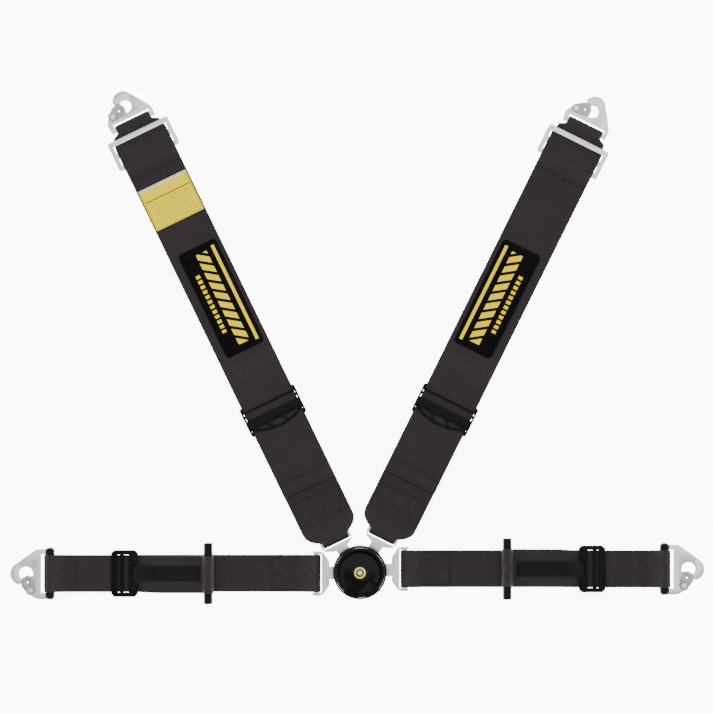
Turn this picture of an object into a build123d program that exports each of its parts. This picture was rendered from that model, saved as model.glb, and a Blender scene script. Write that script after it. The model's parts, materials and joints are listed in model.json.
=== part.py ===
from build123d import *
import os
from math import acos, atan2, cos, degrees, hypot, radians, sin

# Racing harness with four straps, laid flat. The origin is on the axis of the rotary buckle,
# at its back face. +X runs towards the wearer's left lap strap, +Y up the back, +Z away from the body.
os.makedirs("parts", exist_ok=True)

# Webbing
web = 1.4
shoulder_half = 37.5
lap_half = 25.0
sewn_level = 2 * web
side_room = 0.8
slot_room = 1.2

# Tongue plates and the bars that webbing is folded round
bar_half = 3.5
tongue_thickness = 3.0
tongue_level = 5.6
fold_radius = tongue_level - web
tongue_slot_edge = 7.0
blade_tip = 13.5
blade_tip_half = 6.5
neck_half = 8.5

# Rotary buckle
base_radius = 35.0
base_top = 3.0
housing_radius = 36.2
wall = 3.2
roof_under = 21.5
roof_top = 24.0
latch_circle = 20.0
latch_radius = 3.5
latch_tip = 4.3
latch_lift = 3.2
carrier_bottom = 7.8
cam_top = 13.0
cam_radius = 15.4
finger_gap = 0.3
shaft_radius = 6.0
knob_radius = 33.5
knob_bottom = 24.6
buckle_roll = 4.9
recess_radius = 9.6
running_fit = 0.05
press_fit = 0.01
swivel_room = 1.4
screw_circle = 29.0
screw_radius = 1.5
boss_radius = 3.2
screw_angles = (31.0, 154.6, 230.0, 320.0)

# Snap hooks
plate = 3.5
cheek = 0.8
cheek_gap = 0.2
rivet_radius = 2.5
boss_outer = 6.2
cotter_radius = 1.3
cover_radius = 6.5
cover_length = 2 * lap_half + 20.6
shoulder_hook = dict(
    half=lap_half + 8.5, slot=7.5, eye=(23.5, 8.2), nose=(30.5, 14.5), rivet=(18.5, 21.8),
    level=tongue_level,
)
lap_hook = dict(
    half=lap_half + 10, slot=12.0, eye=(32.3, 9.3), nose=(38.5, 15.3), rivet=(26.7, 23.0),
    level=cover_radius + 0.4 + web,
)

# Adjusters: base plate, side posts, bars over the webbing and a loose lock bar
frame_bottom = web + 0.2
frame_top = frame_bottom + 2.8
upper_level = frame_top + web + 0.6
cross_bottom = upper_level + web + 0.5
cross_top = cross_bottom + 2.9
shoulder_frame_half = shoulder_half + 3.5
lap_frame_half = lap_half + 6.5
lock_radius = 2.2
lock_level = frame_bottom + 2.25
lock_travel = 1.5
release_half = 10.5
release_web = 1.2
release_bar_level = cross_top + 0.3
release_fold = 2.2
toggle_radius = 6.0
toggle_level = toggle_radius + sewn_level + 0.6
toggle_half = 41.5
slide_bottom = sewn_level + 0.2
slide_top = slide_bottom + 2.2

# Each strap: centre of its tongue's bar, heading, and distances along it from that bar
straps = {
    "shoulder_left": dict(
        bar=(-33.2, 43.9), heading=115.87, adjuster=171.0, sewn=67.0, tail=80.0, patch=283.5,
        patch_side=-3.0, slide=574.5, end=556.0, hook=627.5, throat=1,
    ),
    "shoulder_right": dict(
        bar=(30.8, 49.4), heading=63.62, adjuster=167.0, sewn=64.0, tail=82.0, patch=278.0,
        patch_side=3.0, slide=559.0, end=541.0, hook=616.0, throat=1,
    ),
    "lap_left": dict(
        bar=(-58.5, -2.2), heading=180.0, adjuster=241.9, sewn=62.0, toggle=146.8, hook=360.7, throat=1,
    ),
    "lap_right": dict(
        bar=(60.5, 4.0), heading=0.0, adjuster=235.5, sewn=62.0, toggle=138.7, hook=351.5, throat=-1,
    ),
}


def flat(*points):
    """Flat outline through the points, facing up whichever way they run."""
    area = sum(a[0] * b[1] - b[0] * a[1] for a, b in zip(points, points[1:] + points[:1]))
    ordered = points if area > 0 else points[::-1]
    return make_face(Polyline(*ordered, close=True))


def both_sides(*points):
    """Outline that is the same on both sides of the X axis."""
    mirrored = [(u, -v) for u, v in reversed(points)]
    return flat(*points, *mirrored)


def strip(u0, u1, z0, z1):
    """Straight length of webbing in side view."""
    return Pos((u0 + u1) / 2, (z0 + z1) / 2) * Rectangle(u1 - u0, z1 - z0)


def slope(u0, z0, u1, z1, thick=web):
    """Sloping length of webbing in side view, between the undersides at its two ends."""
    return flat((u0, z0), (u0, z0 + thick), (u1, z1 + thick), (u1, z1))


def fold(u, level, radius, lower, upper, thick=web):
    """Webbing taken round a bar, its two layers running straight to the inner points given."""
    layers, rays = [], []
    for (x, z), sign in ((lower, 1), (upper, -1)):
        side = 1 if x > u else -1
        lean = atan2(z - level, x - u) - side * sign * acos(radius / hypot(x - u, z - level))
        away = (cos(lean), sin(lean))
        touch = (u + radius * away[0], level + radius * away[1])
        layers.append(flat(touch, (touch[0] + thick * away[0], touch[1] + thick * away[1]),
                           (x + thick * away[0], z + thick * away[1]), (x, z)))
        rays.append((u + 9 * radius * away[0], level + 9 * radius * away[1]))
    wedge = flat((u, level), rays[0], (u + side * 90, rays[0][1]), (u + side * 90, rays[1][1]), rays[1])
    ring = Pos(u, level) * (Circle(radius + thick) - Circle(radius)) - wedge
    return ring + layers[0] + layers[1]


def block(u0, u1, v0, v1, z0, z1):
    """Box between two corners."""
    return Pos((u0 + u1) / 2, (v0 + v1) / 2, (z0 + z1) / 2) * Box(u1 - u0, v1 - v0, z1 - z0)


def disc(radius, z0, z1):
    """Upright cylinder between two heights."""
    return Pos(0, 0, (z0 + z1) / 2) * Cylinder(radius, z1 - z0)


def raised(outline, z0, z1):
    """Flat outline given a thickness between two heights."""
    return extrude(Pos(0, 0, z0) * outline, z1 - z0)


def widened(side_view, plan):
    """Webbing: its side view given a width, then trimmed to its outline from above."""
    return extrude(Plane.XZ * side_view, 60, both=True) & raised(plan, -5, 60)


def polar(angle, radius):
    """Shift to a point on a circle round the buckle's axis."""
    return Pos(radius * cos(radians(angle)), radius * sin(radians(angle)), 0)


def laid(shape, strap):
    """Shape drawn along a strap, moved to where that strap lies."""
    return Pos(*strap["bar"], 0) * Rot(0, 0, strap["heading"]) * shape


def coil(radius, wire, z0, z1, turns):
    """Round-wire coil spring."""
    path = Helix((z1 - z0) / turns, z1 - z0, radius)
    section = Plane(path @ 0, z_dir=path % 0) * Circle(wire)
    return Pos(0, 0, z0) * sweep(section, path=path, is_frenet=True)


def save(node, shape):
    """Writes one piece of the harness."""
    export_step(shape, f"parts/{node}.step")


tongue_angles = {name: degrees(atan2(s["bar"][1], s["bar"][0])) for name, s in straps.items()}
moving_latches = ("shoulder_left", "shoulder_right", "lap_right")


# Buckle: base plate, housing, latch carrier
def base_plate():
    body = disc(base_radius, 0, base_top)
    body = chamfer(body.edges().group_by(Axis.Z)[0], 0.8)
    body -= disc(shaft_radius / 2 + running_fit, 1, base_top + 1)
    body -= polar(tongue_angles["lap_left"], latch_circle) * disc(latch_radius + press_fit, 1, base_top + 1)
    for angle in screw_angles:
        body -= polar(angle, screw_circle) * disc(screw_radius + running_fit, -1, base_top + 1)
        body -= polar(angle, screw_circle) * disc(2 * screw_radius, -1, 1.5)
    return body


def housing():
    body = disc(housing_radius, base_top, roof_top)
    body = fillet(body.edges().group_by(Axis.Z)[-1], 1.5)
    body -= disc(housing_radius - wall, base_top - 1, roof_under)
    body -= disc(shaft_radius + running_fit, roof_under - 1, roof_top + 1)
    for angle in screw_angles:
        post = disc(boss_radius, base_top, roof_under + 0.5) - disc(screw_radius, base_top - 1, 16)
        body += polar(angle, screw_circle) * post
    room = tongue_thickness / 2 + 0.4
    for angle in tongue_angles.values():
        side = neck_half + swivel_room
        mouth = block(30, 40, -side, side, tongue_level - room, tongue_level + room)
        body -= Rot(0, 0, angle) * mouth
    return body


def latch_carrier():
    body = disc(housing_radius - wall - 0.4, carrier_bottom, cam_top) - disc(cam_radius + 0.8, 0, 30)
    for angle in screw_angles:
        body -= polar(angle, screw_circle) * disc(boss_radius + running_fit, 0, 30)
    for angle in tongue_angles.values():
        body -= polar(angle, latch_circle) * disc(latch_radius + running_fit, 0, 30)
    return body


def latch(angle):
    """Sprung latch pin, with a finger that the cam lifts."""
    seat = cam_top + finger_gap
    pin = disc(latch_radius, latch_tip, seat + 2.5)
    pin = chamfer(pin.edges().group_by(Axis.Z)[0], 0.6)
    pin += disc(latch_radius / 2, seat + 2.5, seat + 4.9)
    pin = Pos(latch_circle, 0, 0) * pin
    pin += block(12.9, latch_circle, -2, 2, seat, seat + 2.5)
    return Rot(0, 0, angle) * pin


def cam_spindle():
    """Shaft under the knob, with one ramp for each moving latch."""
    body = disc(shaft_radius / 2, 1.2, base_top + 0.3) + disc(shaft_radius, base_top + 0.3, knob_bottom)
    body += disc(cam_radius, cam_top - 4, cam_top)
    body += Rot(0, 0, buckle_roll) * raised(RegularPolygon(shaft_radius - 1, 6), knob_bottom, 30)
    ramp_side = flat((3.6, cam_top - 0.2), (3.6, cam_top), (-3.6, cam_top + latch_lift),
                     (-4.5, cam_top + latch_lift), (-4.5, cam_top - 0.2))
    ramp = extrude(Plane.YZ.offset(12.6) * ramp_side, 4) & disc(cam_radius - 0.1, 0, 30)
    for name in moving_latches:
        body += Rot(0, 0, tongue_angles[name] - 23.6) * ramp
    return body


def turn_knob():
    """Round knob: raised rim, dished face, domed middle and two finger recesses with a fin between."""
    rim = knob_radius
    half_section = Polyline(
        (0, 33.4), (9.5, 33.2), (0.448 * rim, 32.0), (0.627 * rim, 30.4), (0.761 * rim, 29.9),
        (rim - 5.5, 30.6), (rim - 4.3, 32.2), (rim - 1.7, 32.6), (rim - 0.4, 32.0), (rim, 30.8),
        (rim, knob_bottom), (rim - 3, knob_bottom), (rim - 3, 26.8), (10.5, 26.8), (10.5, knob_bottom),
        (0, knob_bottom), close=True,
    )
    body = revolve(Plane.XZ * make_face(half_section), Axis.Z)
    body -= raised(RegularPolygon(shaft_radius - 1 + running_fit, 6), knob_bottom - 1, 30.1)
    body -= disc(8.45, 32.6, 40)
    for side in (-1, 1):
        middle = side * (recess_radius + 4.6)
        body -= Pos(middle, -22.5, 0) * disc(recess_radius, 27.9, 40)
        body -= block(middle - recess_radius, middle + recess_radius, -40, -22.5, 27.9, 40)
    return Rot(0, 0, buckle_roll) * body


save("buckle_base_plate", base_plate())
save("buckle_housing", housing())
save("latch_carrier", latch_carrier())
save("cam_spindle", cam_spindle())
save("turn_knob", turn_knob())
save("knob_emblem", disc(8.4, 32.6, 33.8))
save("knob_return_spring", coil(9.0, 0.6, cam_top + 1, roof_under - 0.9, 5))
save("fixed_tongue_pin", polar(tongue_angles["lap_left"], latch_circle) * disc(latch_radius, 1, cam_top))
screw = disc(screw_radius, 0.3, 15) + disc(2 * screw_radius - 0.1, 0.3, 1.5)
save("housing_screws", Compound([polar(angle, screw_circle) * screw for angle in screw_angles]))
latch_coil = coil(2.7, 0.4, cam_top + 3.4, roof_under - 0.6, 4)
save("latch_springs", Compound([polar(tongue_angles[n], latch_circle) * latch_coil for n in moving_latches]))
for name in moving_latches:
    save(f"latch_{name}", latch(tongue_angles[name]))


# Tongues
def tongue(strap, half, inner, slot_half):
    """Steel plate with a latch hole at the buckle end and a slotted head for the webbing."""
    reach = hypot(*strap["bar"])
    blade = both_sides((blade_tip, 4.5), (blade_tip + 2, blade_tip_half), (24, blade_tip_half),
                       (32, neck_half), (reach - 10, neck_half))
    head = both_sides((5.3, half), (-4, half), (-9.6, half - 2.3), (-inner, half - 14))
    head = fillet(head.vertices(), 2)
    low = tongue_level - tongue_thickness / 2
    top = tongue_level + tongue_thickness / 2
    body = Rot(0, 0, degrees(atan2(strap["bar"][1], strap["bar"][0]))) * raised(blade, low, top)
    body += laid(raised(head, low, top), strap)
    slots = block(-tongue_slot_edge, -bar_half, -slot_half, slot_half, 0, 20)
    slots += block(bar_half, 9, -slot_half, slot_half, 0, 20)
    body -= laid(slots, strap)
    hole = polar(degrees(atan2(strap["bar"][1], strap["bar"][0])), latch_circle)
    return body - hole * disc(latch_radius + running_fit, 0, 30)


# Webbing
def lower_web(strap, half, bar_end, narrow):
    """Web from the tongue to the adjuster, folded back and sewn at both ends."""
    a = strap["adjuster"]
    turn = a + bar_end + 0.2
    side = strip(0, turn + web, 0, web) + fold(0, tongue_level, fold_radius, (20, web), (20, web))
    side += strip(20, strap["sewn"], web, sewn_level)
    side += strip(turn, turn + web, 0, frame_top + 0.2 + web)
    side += strip(a - 2, turn + web, frame_top + 0.2, frame_top + 0.2 + web)
    side += slope(a - 2, frame_top + 0.2, a - 25, web) + strip(a - 45, a - 25, web, sewn_level)
    plan = both_sides((-8, narrow), (8, narrow), (28, half), (turn + 4, half))
    return widened(side, plan)


def shoulder_upper_web(strap):
    """Web from its hemmed tail, through the adjuster, to the hook and back over the slide."""
    a, s, h = strap["adjuster"], strap["slide"], strap["hook"]
    over = slide_top + 0.2
    side = strip(strap["tail"], a + 79, upper_level, upper_level + web)
    side += strip(strap["tail"], strap["tail"] + 19.5, upper_level + web, upper_level + 2 * web - 0.2)
    side += slope(a + 79, upper_level, a + 107, 0) + strip(a + 107, h, 0, web)
    side += fold(h, tongue_level, fold_radius, (h - 30, web), (h - 11, web))
    side += strip(s + 33, h - 11, web, sewn_level)
    side += slope(s + 33, web, s + 26, over) + strip(s - 1, s + 26, over, over + web)
    side += slope(s - 1, over, s - 9, web) + strip(strap["end"], s - 9, web, sewn_level)
    half = shoulder_half
    neck = [(h - 10, 34), (h - 5, lap_half + 0.5), (h + 9, lap_half)]
    plan = both_sides((strap["tail"], half), (h - 24, half), *neck)
    return widened(side, plan)


def lap_outer_web(strap):
    """Web from the toggle, through the adjuster, to the hook and back."""
    a, t, h = strap["adjuster"], strap["toggle"], strap["hook"]
    level = lap_hook["level"]
    inner = cover_radius + 0.4
    bore = toggle_radius + running_fit
    side = Pos(t, toggle_level) * (Circle(bore + web) - Circle(bore))
    side += strip(t + 6.6, a + 100, upper_level, upper_level + web)
    side += strip(t + 5.6, t + 30, upper_level - web, upper_level)
    side += strip(a + 80, a + 100, upper_level - web, upper_level)
    side += fold(h, level, inner, (a + 100, upper_level), (a + 100, upper_level))
    return widened(side, both_sides((t - 10, lap_half), (h + 12, lap_half)))


def release_strap(strap):
    """Short pull strap folded round the small bar of a lap adjuster."""
    u = strap["adjuster"] + 1.5
    low = release_bar_level - release_fold - release_web
    top = low + release_web
    side = fold(u, release_bar_level, release_fold, (u - 40, top), (u - 9, top), release_web)
    side += strip(u - 85.2, u, low, top) + strip(u - 24, u - 9, top, top + release_web)
    return widened(side, both_sides((u - 86, release_half), (u + 6, release_half)))


# Adjusters
def lock_slot(u, reach):
    """Pocket in both side posts that the lock bar slides in."""
    room = lock_radius + running_fit
    return block(u - room - lock_travel, u + room + lock_travel, -reach - 0.3, reach + 0.3,
                 lock_level - room, lock_level + room)


def shoulder_adjuster(strap):
    """Adjuster with a wide cross bar and a curved lip with three slits."""
    outer = shoulder_frame_half
    inner = shoulder_half + side_room
    outline = Pos(22.5, 0) * Rectangle(42, 2 * outer)
    outline = chamfer(outline.vertices(), 2)
    base = raised(outline, frame_bottom, frame_top) - block(8.5, 36, -inner, inner, 0, 20)
    posts = raised(outline, frame_bottom, cross_top) - block(0, 50, -inner, inner, 0, 20)
    edge = ThreePointArc((11, outer), (0, 0), (11, -outer))
    lip = make_face(Polyline((11, -outer), (24, -outer), (24, outer), (11, outer)) + edge)
    tip = outer - 6
    slits = make_face(Line((11, -tip), (11, tip)) + ThreePointArc((11, tip), (2.4, 0), (11, -tip)))
    for v in (-11, 11):
        slits -= Pos(6.5, v) * Rot(0, 0, 40) * Rectangle(24, 2.4)
    bar = raised(lip, cross_bottom, cross_top - 1) + block(13, 24, -outer, outer, cross_bottom, cross_top)
    bar += block(34.5, 37, -outer, outer, cross_bottom, cross_top - 1)
    bar -= raised(slits, 0, 20)
    body = base + posts + bar - lock_slot(30, outer - 1)
    return laid(Pos(strap["adjuster"], 0, 0) * body, strap)


def lap_adjuster(strap):
    """Adjuster with three bars over the webbing and a small bar for the release strap."""
    inner = lap_half + side_room
    outline = Pos(18, 0) * Rectangle(36, 2 * lap_frame_half)
    outline = chamfer(outline.vertices(), 4)
    body = raised(outline, frame_bottom, cross_top)
    body += raised(outline, frame_bottom, cross_top + 1.5) & block(-1, 12, -40, 40, 0, 20)
    body -= block(-1, 37, -inner, inner, frame_top, cross_bottom)
    body -= block(7.5, 30, -inner, inner, 0, frame_top + 1)
    body -= block(-1, 1.5, -inner, inner, 0, frame_top + 1)
    for start, finish in ((12, 19), (23.5, 27)):
        body -= block(start, finish, -inner, inner, frame_top, 20)
    body -= block(-1, 8, -12.2, 12.2, frame_top, release_bar_level - 1.2)
    body -= block(3, 7.6, -11.7, 11.7, frame_top, 20)
    body -= lock_slot(22.5, lap_frame_half - 2.5)
    return laid(Pos(strap["adjuster"], 0, 0) * body, strap)


def lock_bar(strap, offset, reach):
    rod = Rot(90, 0, 0) * Cylinder(lock_radius, 2 * reach)
    return laid(Pos(strap["adjuster"] + offset, 0, lock_level) * rod, strap)


# Snap hooks
def around(strap, hook, points):
    """Points given from the gate rivet, turned to the hook's throat side."""
    h, s = hook["rivet"]
    return [(h + x, strap["throat"] * (s + y)) for x, y in points]


def hook_plate(strap, hook):
    """Flat hook with a web bar, an eye and a throat that a gate closes."""
    rh, rs = hook["rivet"]
    nose_h, nose_r = hook["nose"]
    half = hook["half"]
    k = strap["throat"]
    far = [(rh - 8.3, -half + 2.3), (rh - 2.3, -half + 6)]
    far += [(nose_h + 0.42 * nose_r, -0.91 * nose_r), (nose_h, 0)]
    near = [(10, half), (rh - 8.3, rs + 11.1), (rh - 2.3, rs + 8.2), (rh + 2.8, rs + 3.1)]
    outer = [(-bar_half, -half + 1.5), *far, *near[::-1], (-bar_half, half - 1.5)]
    outline = flat(*[(h, k * s) for h, s in outer]) + Pos(nose_h, 0) * Circle(nose_r)
    outline += Pos(rh, k * rs) * Circle(boss_outer)
    bridge = [(rh - 4, rs), (rh - 4, 0), (nose_h, 0), (nose_h, 12), (rh + 9, rs - 6)]
    outline += flat(*[(h, k * s) for h, s in bridge])
    throat = [(-1.2, -6), (-3.6, -19.6), (4, -22), (10.25, -15), (11.6, -10.8), (15.3, -8)]
    throat += [(20, -2), (16, 8), (5, 4)]
    cut = flat(*around(strap, hook, throat)) - Pos(rh, k * rs) * Circle(boss_outer)
    outline -= cut + Pos(hook["eye"][0], 0) * Circle(hook["eye"][1])
    middle = (bar_half + hook["slot"]) / 2
    outline -= Pos(middle, 0) * Rectangle(hook["slot"] - bar_half, 2 * (lap_half + slot_room))
    body = raised(outline, -plate / 2, plate / 2)
    body -= Pos(rh, k * rs, 0) * disc(rivet_radius + press_fit, -5, 5)
    body -= Pos(rh, k * rs, 0) * disc(rivet_radius + 2.1, -0.2, 5)
    return body


def gate(strap, hook):
    """Gate: two cheeks over the plate, joined across the throat, with a cotter hole."""
    rh, rs = hook["rivet"]
    k = strap["throat"]
    paddle = [(-5.9, -1.5), (-3.1, -19.1), (4.8, -20.1), (11.2, -16.4), (13, -10.5), (11, -5), (6.2, 1)]
    outline = flat(*around(strap, hook, paddle)) + Pos(rh, k * rs) * Circle(6)
    inner = plate / 2 + cheek_gap
    body = raised(outline, inner, inner + cheek) + raised(outline, -inner - cheek, -inner)
    angles = [radians(a) for a in (-50, -58)]
    near = [(9 * cos(a), 9 * sin(a)) for a in angles]
    far = [(15 * cos(a), 15 * sin(a)) for a in reversed(angles)]
    body += raised(flat(*around(strap, hook, near + far)), -inner, inner)
    body -= Pos(rh, k * rs, 0) * disc(rivet_radius + running_fit, -5, 5)
    (cotter,) = around(strap, hook, [(3.3, -11.1)])
    return body - Pos(*cotter, 0) * disc(cotter_radius, -5, 5)


def gate_rivet(strap, hook):
    grip = plate / 2 + cheek_gap + cheek + 0.1
    body = disc(rivet_radius, -grip, grip) + disc(3.8, grip, grip + 1) + disc(3.8, -grip - 1, -grip)
    return Pos(hook["rivet"][0], strap["throat"] * hook["rivet"][1], 0) * body


def gate_spring(strap, hook):
    return Pos(hook["rivet"][0], strap["throat"] * hook["rivet"][1], 0) * coil(3.6, 0.28, 0.25, 1.35, 1.6)


def hook_bar_cover():
    """Sleeve on the web bar of a lap hook, with round ends and room for the plate's arms."""
    sleeve = Rot(90, 0, 0) * Cylinder(cover_radius, cover_length)
    sleeve = fillet(sleeve.edges(), cover_radius - 1.5)
    across = 2 * cover_radius
    room = Rectangle(2 * bar_half, cover_length) + Pos(cover_radius, 0) * Rectangle(across, cover_length)
    room -= Pos(bar_half + cover_radius, 0) * Rectangle(across, 2 * (lap_half + slot_room))
    return sleeve - raised(room, -plate / 2, plate / 2)


for name, strap in straps.items():
    shoulder = name.startswith("shoulder")
    hook = shoulder_hook if shoulder else lap_hook
    at_hook = Pos(strap["hook"], 0, hook["level"])
    save(f"{name}_hook", laid(at_hook * hook_plate(strap, hook), strap))
    save(f"{name}_gate", laid(at_hook * gate(strap, hook), strap))
    save(f"{name}_gate_rivet", laid(at_hook * gate_rivet(strap, hook), strap))
    save(f"{name}_gate_spring", laid(at_hook * gate_spring(strap, hook), strap))
    if shoulder:
        save(f"{name}_tongue", tongue(strap, 22, 14.5, 19.6))
        save(f"{name}_lower_web", laid(lower_web(strap, shoulder_half, 8.5, 18.8), strap))
        save(f"{name}_upper_web", laid(shoulder_upper_web(strap), strap))
        save(f"{name}_adjuster_frame", shoulder_adjuster(strap))
        save(f"{name}_adjuster_lock_bar", lock_bar(strap, 30, shoulder_frame_half - 1))
        opening = Rectangle(9.5, 2 * shoulder_half + 3)
        ladder = fillet((Pos(20.5, 0) * Rectangle(41, 2 * shoulder_half + 15)).vertices(), 3)
        ladder -= Pos(11.75, 0) * opening + Pos(29.25, 0) * opening
        slide = Pos(strap["slide"], 0, 0) * raised(ladder, slide_bottom, slide_top)
        save(f"{name}_three_bar_slide", laid(slide, strap))
        badge = fillet(Rectangle(155, 56).vertices(), 5)
        patch = Pos(strap["patch"] + 77.5, strap["patch_side"], 0) * raised(badge, web, web + 1)
        save(f"{name}_patch", laid(patch, strap))
    else:
        save(f"{name}_tongue", tongue(strap, lap_half + 5, 17.2, lap_half + slot_room))
        save(f"{name}_inner_web", laid(lower_web(strap, lap_half, 7.5, lap_half), strap))
        save(f"{name}_outer_web", laid(lap_outer_web(strap), strap))
        save(f"{name}_adjuster_frame", lap_adjuster(strap))
        save(f"{name}_adjuster_lock_bar", lock_bar(strap, 22.5, lap_frame_half - 2.5))
        save(f"{name}_release_strap", laid(release_strap(strap), strap))
        rod = fillet((Rot(90, 0, 0) * Cylinder(toggle_radius, 2 * toggle_half)).edges(), 1.5)
        save(f"{name}_toggle_bar", laid(Pos(strap["toggle"], 0, toggle_level) * rod, strap))
        save(f"{name}_hook_bar_cover", laid(at_hook * hook_bar_cover(), strap))

label = fillet(Rectangle(59, 71).vertices(), 1)
warning = Pos(510, 0, 0) * raised(label, web, web + 0.5)
save("shoulder_left_label", laid(warning, straps["shoulder_left"]))
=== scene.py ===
"""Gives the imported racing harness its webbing, metal, plastic and print, and lays it on a pale floor."""

import json
import math

import bmesh
import bpy
import numpy as np
from bpy.props import FloatProperty, FloatVectorProperty, PointerProperty
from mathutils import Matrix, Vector


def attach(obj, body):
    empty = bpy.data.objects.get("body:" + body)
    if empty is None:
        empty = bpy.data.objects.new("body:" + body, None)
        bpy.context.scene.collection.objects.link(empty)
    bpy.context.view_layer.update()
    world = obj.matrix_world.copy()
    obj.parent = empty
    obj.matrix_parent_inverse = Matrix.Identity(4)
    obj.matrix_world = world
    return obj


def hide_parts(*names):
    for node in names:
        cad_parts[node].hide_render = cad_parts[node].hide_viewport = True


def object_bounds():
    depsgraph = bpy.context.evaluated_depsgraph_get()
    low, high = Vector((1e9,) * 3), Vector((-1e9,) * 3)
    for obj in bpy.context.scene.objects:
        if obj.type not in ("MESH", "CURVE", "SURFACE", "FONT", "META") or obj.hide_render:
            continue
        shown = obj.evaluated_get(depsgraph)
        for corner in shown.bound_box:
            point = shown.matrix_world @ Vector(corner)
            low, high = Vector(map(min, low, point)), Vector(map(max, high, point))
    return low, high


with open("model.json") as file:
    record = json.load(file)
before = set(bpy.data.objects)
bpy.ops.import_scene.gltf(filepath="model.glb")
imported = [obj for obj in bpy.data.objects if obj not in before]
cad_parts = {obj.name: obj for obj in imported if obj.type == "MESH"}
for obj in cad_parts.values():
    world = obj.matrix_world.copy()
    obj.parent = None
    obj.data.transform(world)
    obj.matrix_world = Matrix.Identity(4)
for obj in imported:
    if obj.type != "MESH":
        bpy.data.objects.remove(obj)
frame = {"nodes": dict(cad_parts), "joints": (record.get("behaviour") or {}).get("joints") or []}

bl_info = {
    "name": "Racing harness looks",
    "version": (1, 0, 0),
    "blender": (4, 5, 0),
    "location": "3D View > Sidebar > Harness",
    "description": "Webbing, stitching, metal, plastic and prints of a four-strap racing harness",
    "category": "Object",
}

MM = 0.001
CAD_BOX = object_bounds()
JOINTS = {joint["name"]: joint for joint in frame["joints"]}

# Levels above the floor and sizes in millimetres, as the parts of the frame hold them
DRAWN = 1.34
BAR_LEVEL = 5.6
FOLD = 4.9
TAIL_LEVEL = 7.1
SLEEVE_FOLD = 7.6
SLEEVE_LEVEL = 8.3
TOGGLE_FOLD = 6.8
TOGGLE_LEVEL = 9.4
RELEASE_LEVEL = 11.5
RELEASE_FOLD = 2.8
RELEASE_WEB = 1.14
SHOULDER_HALF = 37.5
SHOULDER_NECK = 18.8
LAP_HALF = 25.0
RELEASE_HALF = 10.5

# Heights of the thread, on two layers lying on the floor and on the raised layers
LOW_SEAM = 2.8
RAISED_SEAM = 7.8
HEM_SEAM = 9.12

# Distances along each strap from its tongue's bar, in millimetres
STRAPS = {
    "shoulder_left": dict(sewn=67.0, tail=80.0, end=556.0, bar_end=8.5, inward=-1),
    "shoulder_right": dict(sewn=64.0, tail=82.0, end=541.0, bar_end=8.5, inward=1),
    "lap_left": dict(sewn=62.0, bar_end=7.5),
    "lap_right": dict(sewn=62.0, bar_end=7.5),
}


class Lie:
    """Where one strap lies: the middle of its tongue's bar and its two directions on the floor."""

    def __init__(self, name):
        swing = JOINTS[f"{name}_strap_swing"]
        hook = JOINTS[f"{name}_hook_swing"]
        self.name = name
        self.start = np.array(swing["pos_m"][:2])
        self.along = np.array([-swing["axis"][1], swing["axis"][0]])
        self.left = np.array([-self.along[1], self.along[0]])
        self.heading = math.atan2(self.along[1], self.along[0])
        self.hook = float((np.array(hook["pos_m"][:2]) - self.start) @ self.along) / MM

    def span(self, node):
        """Nearest and farthest distance along the strap that a frame node reaches, in millimetres."""
        mesh = frame["nodes"][node].data
        places = np.empty(len(mesh.vertices) * 3)
        mesh.vertices.foreach_get("co", places)
        far = (places.reshape(-1, 3)[:, :2] - self.start) @ self.along / MM
        return far.min(), far.max()

    def place(self, u, v, z):
        """Points along, across and above the strap in millimetres, as points of the frame in metres."""
        flat = self.start + MM * (u[..., None] * self.along + v[..., None] * self.left)
        return np.concatenate([flat, MM * z[..., None]], axis=-1)


LIES = {name: Lie(name) for name in STRAPS}


# Shapes


def line(*points):
    """Straight runs through the points, cut into steps of about 3 mm: each run is a + t (b - a)."""
    points = np.array(points, float)
    runs = []
    for a, b in zip(points, points[1:]):
        steps = max(2, int(np.linalg.norm(b - a) / 3))
        t = np.linspace(0, 1, steps, endpoint=False)[:, None]
        runs.append(a + t * (b - a))
    return np.concatenate(runs + [points[-1:]])


def arc(centre, radius, start, stop):
    """Points on a circle: centre plus radius times (cosine, sine) of angles in equal steps, in degrees."""
    angles = np.radians(np.linspace(start, stop, max(3, int(abs(stop - start) / 9))))
    return np.array(centre) + radius * np.stack([np.cos(angles), np.sin(angles)], axis=-1)


def leave(centre, radius, point, side):
    """Angle in degrees at which a straight line from a circle to a point leaves that circle."""
    du, dz = point[0] - centre[0], point[1] - centre[1]
    return math.degrees(math.atan2(dz, du) + side * math.acos(radius / math.hypot(du, dz)))


def eased(points):
    """The path with each inner point moved halfway to its neighbours' middle, twice."""
    for _ in range(2):
        points[1:-1] = 0.5 * points[1:-1] + 0.25 * (points[:-2] + points[2:])
    return points


def add_object(name, mesh, material, body):
    """Links a finished mesh, smooth, with its material and the body that it rides on."""
    piece = bpy.data.objects.new(name, mesh)
    bpy.context.scene.collection.objects.link(piece)
    mesh.materials.append(material)
    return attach(piece, body)


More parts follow.
